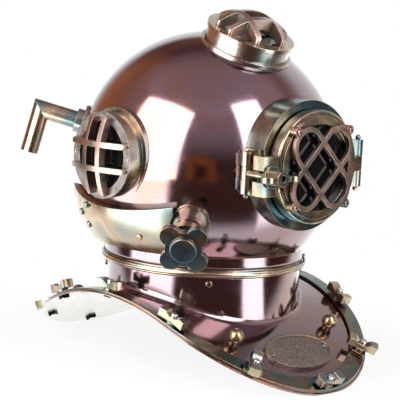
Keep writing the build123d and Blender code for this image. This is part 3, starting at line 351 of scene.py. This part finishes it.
cameraData.clip_end = cameraLook["clipEnd"]
camera = bpy.data.objects.new("photoCamera", cameraData)
camera.matrix_world = Matrix((
    (tiltRight.x, tiltUp.x, -forward.x, place.x),
    (tiltRight.y, tiltUp.y, -forward.y, place.y),
    (tiltRight.z, tiltUp.z, -forward.z, place.z),
    (0, 0, 0, 1)))
scene.collection.objects.link(camera)
scene.camera = camera
print("camera placed")


paper = {  # lengths in m
    "wide": 6.0, "back": 6.0, "front": 1.3,  # how far the sheet reaches from the helmet; it ends before the camera
    "sheet": "#f0efee", "rough": 0.9, "white": "#ffffff", "dim": "#4a332f",
    "shadowless": 0.86, "shadowOut": (0.2, 0.45),  # the white's share by the helmet, and where it grows to 1
    "dimOut": (0.44, 0.68),  # where the dim studio floor begins on the camera's side, and is full
    "paintedPools": ((168, 27), (-77, 13)),  # a painted pool of light on the floor before each lamp box, seen in reflections: its turn and half width in degrees
    "softEdge": 0.15, "glow": 1.5, "poolGlow": 3.0,  # how strongly metal mirrors the sheet, and more in a painted pool of light
}


def studioPaper(name, look=paper):
    # Matt white paper: it keeps the helmet's shadow near by, and further out it is plain white to the eye. Metal
    # mirrors it brighter, but on the camera's side as a dim studio floor with a painted pool of light before each
    # lamp box.
    material, tree, shader, where = newMaterial(name)
    feed(shader, {"Base Color": toLinear(look["sheet"]), "Roughness": look["rough"]})
    rays = addNode(tree, "LightPath").outputs
    seen = addNode(tree, "Math", {"operation": "MAXIMUM"}, {0: rays["Is Camera Ray"], 1: rays["Is Glossy Ray"]})
    either = addNode(tree, "Math", {"operation": "MAXIMUM"}, {0: seen.outputs[0], 1: rays["Is Transmission Ray"]})
    reach = addNode(tree, "VectorMath", {"operation": "LENGTH"}, {0: where}).outputs["Value"]
    clear = addNode(tree, "MapRange", smoothed, {
        "Value": reach, "From Min": look["shadowOut"][0], "From Max": look["shadowOut"][1],
        "To Min": look["shadowless"], "To Max": 1.0}).outputs[0]
    share = addNode(tree, "Math", {"operation": "MULTIPLY"}, {0: either.outputs[0], 1: clear}).outputs[0]

    ahead = addNode(tree, "VectorMath", dotProduct, {0: where, 1: (-forward.x, -forward.y, 0.0)}).outputs["Value"]
    span = addNode(tree, "Math", {"operation": "ADD"}, {0: reach, 1: ahead}).outputs[0]
    past = addNode(tree, "MapRange", smoothed, {
        "Value": span, "From Min": look["dimOut"][0], "From Max": look["dimOut"][1]}).outputs[0]
    aside = addNode(tree, "VectorMath", {"operation": "NORMALIZE"}, {0: where}).outputs[0]
    # painted pools of light: in each wedge before a lamp box the floor glows brighter in reflections and the dim
    # floor is taken out
    strength = look["glow"]
    for bearing, half in look["paintedPools"]:
        towards = (math.cos(math.radians(bearing)), math.sin(math.radians(bearing)), 0.0)
        inside = addNode(tree, "VectorMath", dotProduct, {0: aside, 1: towards}).outputs["Value"]
        lit = addNode(tree, "MapRange", smoothed, {
            "Value": inside, "From Min": math.cos(math.radians(half * (1 + look["softEdge"]))),
            "From Max": math.cos(math.radians(half * (1 - look["softEdge"]))),
            "To Min": 0.0, "To Max": past}).outputs[0]
        past = addNode(tree, "Math", {"operation": "SUBTRACT"}, {0: past, 1: lit}).outputs[0]
        strength = addNode(tree, "Math", {"operation": "MULTIPLY_ADD"}, {
            0: lit, 1: look["poolGlow"], 2: strength}).outputs[0]
    unseen = addNode(tree, "Math", {"operation": "SUBTRACT"}, {0: 1.0, 1: rays["Is Camera Ray"]}).outputs[0]
    dimmed = addNode(tree, "Math", {"operation": "MULTIPLY"}, {0: past, 1: unseen}).outputs[0]
    colour = addNode(tree, "Mix", blended, {
        0: dimmed, 6: toLinear(look["white"]), 7: toLinear(look["dim"])}).outputs[2]
    strong = addNode(tree, "MapRange", links={
        "Value": rays["Is Camera Ray"], "To Min": strength, "To Max": 1.0}).outputs[0]
    glow = addNode(tree, "Emission", links={"Color": colour, "Strength": strong}).outputs[0]
    shown = addNode(tree, "MixShader", links={"Fac": share, 1: shader.outputs[0], 2: glow}).outputs[0]
    feed(tree.nodes["Material Output"], {"Surface": shown})
    return material


level = Vector((forward.x, forward.y, 0)).normalized()
floorMesh = bpy.data.meshes.new("floor")
floorMesh.from_pydata([
    along * level + side * paper["wide"] * right
    for along, side in ((-paper["front"], -1), (-paper["front"], 1), (paper["back"], 1), (paper["back"], -1))],
    [], [(0, 1, 2, 3)])
floorMesh.materials.append(studioPaper("whitePaper"))
floor = bpy.data.objects.new("floor", floorMesh)
scene.collection.objects.link(floor)
print("floor laid")


world = bpy.data.worlds.new("studio")
scene.world = world
world.use_nodes = True
sky = world.node_tree
sky.nodes.clear()
rays = addNode(sky, "LightPath").outputs
heading = addNode(sky, "TexCoord").outputs["Generated"]  # the way that a ray goes, one unit long
height = addNode(sky, "SeparateXYZ", links={"Vector": heading}).outputs["Z"]
toViewer, across, aloft = (
    addNode(sky, "VectorMath", dotProduct, {0: heading, 1: tuple(way)}).outputs["Value"]
    for way in (-forward, right, up))

room = {  # dim brown walls under a pale lilac ceiling, and behind the helmet plain brown, coppery on the left
    "stops": [(0.1, "#563f3b"), (0.72, "#dcc6cf"), (1.0, "#c9acb0")],
    "back": "#6b4d4c", "copper": "#c98a68", "leftward": (-0.3, -0.6), "before": (-0.5, 0.1),
}
walls = addNode(sky, "ValToRGB", {"stops": room["stops"]}, {"Fac": height}).outputs[0]
leftward = addNode(sky, "MapRange", smoothed, {
    "Value": across, "From Min": room["leftward"][0], "From Max": room["leftward"][1]}).outputs[0]
behindTone = addNode(sky, "Mix", blended, {
    0: leftward, 6: toLinear(room["back"]), 7: toLinear(room["copper"])}).outputs[2]
before = addNode(sky, "MapRange", smoothed, {
    "Value": toViewer, "From Min": room["before"][0], "From Max": room["before"][1]}).outputs[0]
around = addNode(sky, "Mix", blended, {0: before, 6: behindTone, 7: walls}).outputs[2]

beams = {  # warm beams high in the room, broken into soft lengths
    "warm": "#b5714c", "share": 0.5, "breaks": 420,
    "stops": [(0.5, "#000000"), (0.6, "#ffffff"), (0.7, "#ffffff"), (0.78, "#000000")],
}
band = addNode(sky, "ValToRGB", {"stops": beams["stops"]}, {"Fac": height}).outputs[0]
lengths = mottle(sky, heading, beams["breaks"], 0.0, beams["share"], 2.0)
beamShare = addNode(sky, "Mix", multiplied, {0: 1.0, 6: band, 7: lengths}).outputs[2]
mirrored = addNode(sky, "Mix", blended, {0: beamShare, 6: around, 7: toLinear(beams["warm"])}).outputs[2]

window = {  # a warm square with ragged edges and a dark middle, low behind the camera
    "aside": 0.104, "down": 0.215, "ragged": 0.035, "raggedSize": 260,  # places and widths on the unit heading
    "layers": (("#a5653c", 0.27, 0.19), ("#4a2a20", 0.15, 0.08)),  # colour, and where it begins and is full
}
nearSide = addNode(sky, "Math", {"operation": "GREATER_THAN"}, {0: toViewer, 1: 0.0}).outputs[0]
fromMiddle = [
    addNode(sky, "Math", {"operation": "ADD"}, {0: part, 1: shift}).outputs[0]
    for part, shift in ((across, window["aside"]), (aloft, window["down"]))]
wide, tall = (addNode(sky, "Math", {"operation": "ABSOLUTE"}, {0: part}).outputs[0] for part in fromMiddle)
square = addNode(sky, "Math", {"operation": "MAXIMUM"}, {0: wide, 1: tall}).outputs[0]
mist = mottle(sky, heading, window["raggedSize"], -window["ragged"], window["ragged"])
ragged = addNode(sky, "Math", {"operation": "ADD"}, {0: square, 1: mist}).outputs[0]
for colour, begins, full in window["layers"]:
    inside = addNode(sky, "MapRange", smoothed, {
        "Value": ragged, "From Min": begins, "From Max": full, "To Min": 0.0, "To Max": nearSide}).outputs[0]
    mirrored = addNode(sky, "Mix", blended, {0: inside, 6: mirrored, 7: toLinear(colour)}).outputs[2]

screen = {  # a round pale reflector at the camera's right
    "colour": "#f1ece8", "towards": (0.70, -0.70, 0.12), "edge": (0.86, 0.94), "share": 0.9,
}
toScreen = addNode(sky, "VectorMath", dotProduct, {0: heading, 1: screen["towards"]}).outputs["Value"]
onScreen = addNode(sky, "MapRange", smoothed, {
    "Value": toScreen, "From Min": screen["edge"][0], "From Max": screen["edge"][1],
    "To Min": 0.0, "To Max": screen["share"]}).outputs[0]
mirrored = addNode(sky, "Mix", blended, {0: onScreen, 6: mirrored, 7: toLinear(screen["colour"])}).outputs[2]

backPaper = {  # white paper behind the helmet, higher and further round on the camera's right than on its left
    "colour": "#ffffff", "lean": -0.4, "top": (0.66, 0.46), "side": (-0.45, -0.85),
}
onPaper = 1.0
for part, (begins, full) in ((height, backPaper["top"]), (toViewer, backPaper["side"])):
    leaning = addNode(sky, "Math", {"operation": "MULTIPLY_ADD"}, {0: across, 1: backPaper["lean"], 2: part})
    onPaper = addNode(sky, "MapRange", smoothed, {
        "Value": leaning.outputs[0], "From Min": begins, "From Max": full,
        "To Min": 0.0, "To Max": onPaper}).outputs[0]
mirrored = addNode(sky, "Mix", blended, {0: onPaper, 6: mirrored, 7: toLinear(backPaper["colour"])}).outputs[2]

fill = {"colour": "#c9c6c8", "strength": 0.45}  # what lights the helmet and its shadow softly from all round
soft = addNode(sky, "Background", links={
    "Color": toLinear(fill["colour"]), "Strength": fill["strength"]}).outputs[0]
shiny = addNode(sky, "Background", links={"Color": mirrored, "Strength": 1.0}).outputs[0]
white = addNode(sky, "Background", links={"Color": toLinear(backPaper["colour"]), "Strength": 1.0}).outputs[0]
sharpRay = addNode(sky, "Math", {"operation": "MAXIMUM"}, {
    0: rays["Is Glossy Ray"], 1: rays["Is Transmission Ray"]}).outputs[0]
metalSees = addNode(sky, "MixShader", links={"Fac": sharpRay, 1: soft, 2: shiny}).outputs[0]
eyeSees = addNode(sky, "MixShader", links={"Fac": rays["Is Camera Ray"], 1: metalSees, 2: white}).outputs[0]
addNode(sky, "OutputWorld", links={"Surface": eyeSees})

lamps = {  # turn and rise in degrees as seen from the helmet's middle, distance and size in m, power in W
    "leftBox": {"turn": 178, "rise": 18, "away": 1.15, "size": (1.05, 1.4), "power": 26, "tint": "#fbf8ff"},
    "rightBox": {"turn": -92, "rise": 24, "away": 1.2, "size": (0.52, 1.4), "power": 14, "tint": "#fbf8ff"},
}
middle = Vector((0, 0, 0.22))  # of the helmet, half-way up
for name, lamp in lamps.items():
    data = bpy.data.lights.new(name, "AREA")
    data.shape = "RECTANGLE"
    data.size, data.size_y = lamp["size"]
    data.energy = lamp["power"]
    data.color = toLinear(lamp["tint"])[:3]
    light = bpy.data.objects.new(name, data)
    turned, risen = math.radians(lamp["turn"]), math.radians(lamp["rise"])
    way = Vector((math.cos(turned) * math.cos(risen), math.sin(turned) * math.cos(risen), math.sin(risen)))
    light.location = way * lamp["away"] + middle
    light.rotation_euler = (-way).to_track_quat("-Z", "Y").to_euler()
    scene.collection.objects.link(light)
print("studio lit")
